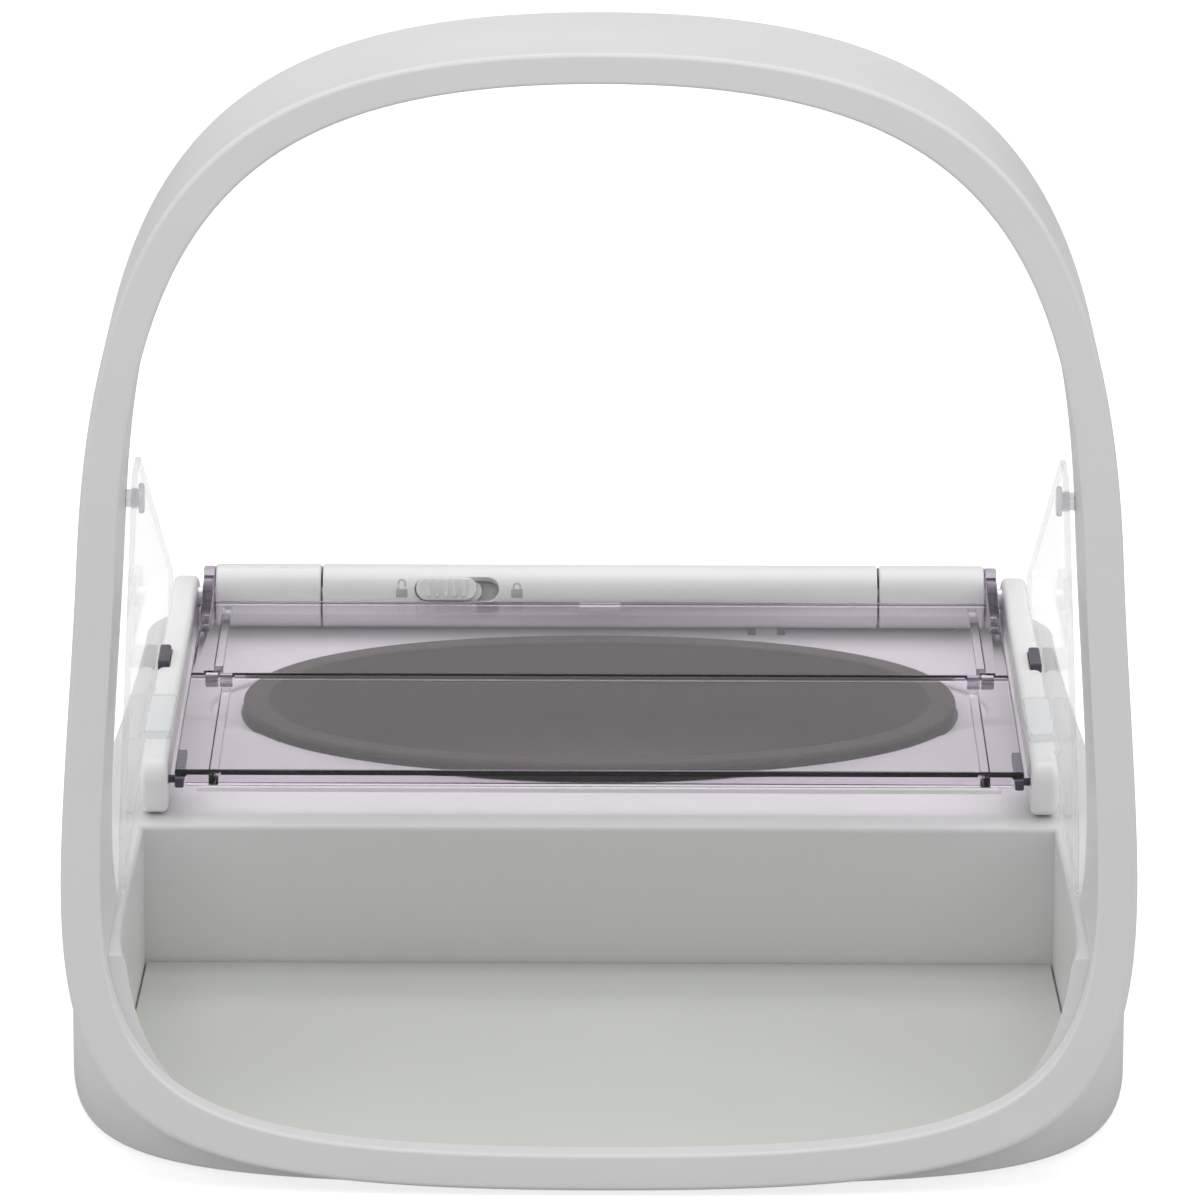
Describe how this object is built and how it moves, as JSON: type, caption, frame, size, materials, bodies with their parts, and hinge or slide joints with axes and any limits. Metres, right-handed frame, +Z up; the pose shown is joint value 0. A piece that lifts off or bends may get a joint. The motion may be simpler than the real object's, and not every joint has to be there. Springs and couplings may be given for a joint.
{
  "type": "microchip pet feeder",
  "caption": "Hooped pet feeder: a tag-reading hoop over a front tray, and a clear lid that folds back along side slots to open a lift-out oval bowl.",
  "frame": {"origin": "centre of the footprint, on the table under the feet", "axes": "+Z up, +X to the feeder's right as it faces the viewer's right hand in the picture, -Y towards the pet that eats from it, +Y towards the housing at the back"},
  "size_m": [0.23, 0.317, 0.2],
  "materials": {
    "white_shell": "satin moulded ABS",
    "white_trim": "satin moulded ABS",
    "clear_lid": "clear tinted polycarbonate",
    "clear_shield": "clear polycarbonate",
    "pale_mat": "matt pale silicone",
    "grey_bowl": "satin dark grey plastic",
    "dark_rubber": "matt rubber",
    "dark_peg": "dark moulded plastic",
    "steel": "ground steel",
    "brass_plate": "sprung brass strip",
    "copper_wire": "wound enamelled copper",
    "board_green": "solder-masked laminate",
    "gear_nylon": "natural nylon",
    "motor_case": "plated motor can",
    "cell_jacket": "plain printed jacket",
    "status_lens": "clear light pipe"
  },
  "bodies": {
    "housing": {"hoop_shell": "white_shell", "hoop_rear_cover": "white_shell", "antenna_coil": "copper_wire", "base_shell": "white_shell", "floor_panel": "white_shell", "foot_front_left": "dark_rubber", "foot_front_right": "dark_rubber", "foot_rear_left": "dark_rubber", "foot_rear_right": "dark_rubber", "screw_front_left": "steel", "screw_front_right": "steel", "screw_rear_left": "steel", "screw_rear_right": "steel", "cell_left_1": "cell_jacket", "cell_left_2": "cell_jacket", "cell_right_1": "cell_jacket", "cell_right_2": "cell_jacket", "contact_plate_left": "brass_plate", "contact_plate_right": "brass_plate", "contact_spring_left": "brass_plate", "contact_spring_right": "brass_plate", "side_pod_left": "white_trim", "side_pod_right": "white_trim", "shield_clip_left": "dark_peg", "shield_clip_right": "dark_peg", "shield_bracket_left": "clear_shield", "shield_bracket_right": "clear_shield", "side_shield_left": "clear_shield", "side_shield_right": "clear_shield", "shield_peg_left": "dark_peg", "shield_peg_right": "dark_peg", "rear_cover": "white_trim", "status_lens": "status_lens", "gear_motor": "motor_case", "circuit_board": "board_green"},
    "lid_rear": {"lid_rear_panel": "clear_lid", "barrel_sleeve_left": "white_trim", "barrel_sleeve_right": "white_trim", "hinge_shaft": "steel", "drive_gear": "gear_nylon", "fold_pin_left": "steel", "fold_pin_right": "steel"},
    "lid_front": {"lid_front_panel": "clear_lid", "lid_front_seal": "white_trim", "guide_shoe_left": "dark_peg", "guide_shoe_right": "dark_peg"},
    "motor_output": {"output_gear": "gear_nylon", "output_shaft": "steel"},
    "lock": {"lock_slider": "white_trim"},
    "add_pet_key": {"button_add_pet": "white_trim"},
    "open_close_key": {"button_open_close": "white_trim"},
    "lift_out_bowl": {"bowl": "grey_bowl"},
    "lift_out_mat": {"tray_mat": "pale_mat"},
    "left_battery_door": {"battery_door_left": "white_shell"},
    "right_battery_door": {"battery_door_right": "white_shell"}
  },
  "joints": [
    {"name": "lid_lift", "type": "hinge", "parent": "housing", "child": "lid_rear", "pos_m": [0, 0.13149, 0.047], "axis": [-1, 0, 0], "range_deg": [0, 82]},
    {"name": "lid_fold", "type": "hinge", "parent": "lid_rear", "child": "lid_front", "pos_m": [0, 0.05949, 0.047], "axis": [1, 0, 0], "range_deg": [0, 164]},
    {"name": "motor_turn", "type": "hinge", "parent": "housing", "child": "motor_output", "pos_m": [0.04, 0.13749, 0.03303], "axis": [1, 0, 0], "range_deg": [0, 48]},
    {"name": "lock_slide", "type": "slide", "parent": "housing", "child": "lock", "axis": [1, 0, 0], "range_m": [0, 0.005]},
    {"name": "add_pet_press", "type": "slide", "parent": "housing", "child": "add_pet_key", "axis": [0, -0.4246, -0.9054], "range_m": [0, 0.0008], "stiffness_N_per_m": 600, "springref_m": -0.0004},
    {"name": "open_close_press", "type": "slide", "parent": "housing", "child": "open_close_key", "axis": [0, -0.4246, -0.9054], "range_m": [0, 0.0008], "stiffness_N_per_m": 600, "springref_m": -0.0004},
    {"name": "bowl_lift", "type": "slide", "parent": "housing", "child": "lift_out_bowl", "axis": [0, 0, 1], "range_m": [0, 0.0015]},
    {"name": "mat_lift", "type": "slide", "parent": "housing", "child": "lift_out_mat", "axis": [0, 0, 1], "range_m": [0, 0.03]},
    {"name": "left_door_drop", "type": "slide", "parent": "housing", "child": "left_battery_door", "axis": [0, 0, -1], "range_m": [0, 0.01]},
    {"name": "right_door_drop", "type": "slide", "parent": "housing", "child": "right_battery_door", "axis": [0, 0, -1], "range_m": [0, 0.01]}
  ],
  "couplings": [
    {"joint": "lid_fold", "follows": "lid_lift", "ratio": 2},
    {"joint": "motor_turn", "follows": "lid_lift", "ratio": 0.58333}
  ]
}
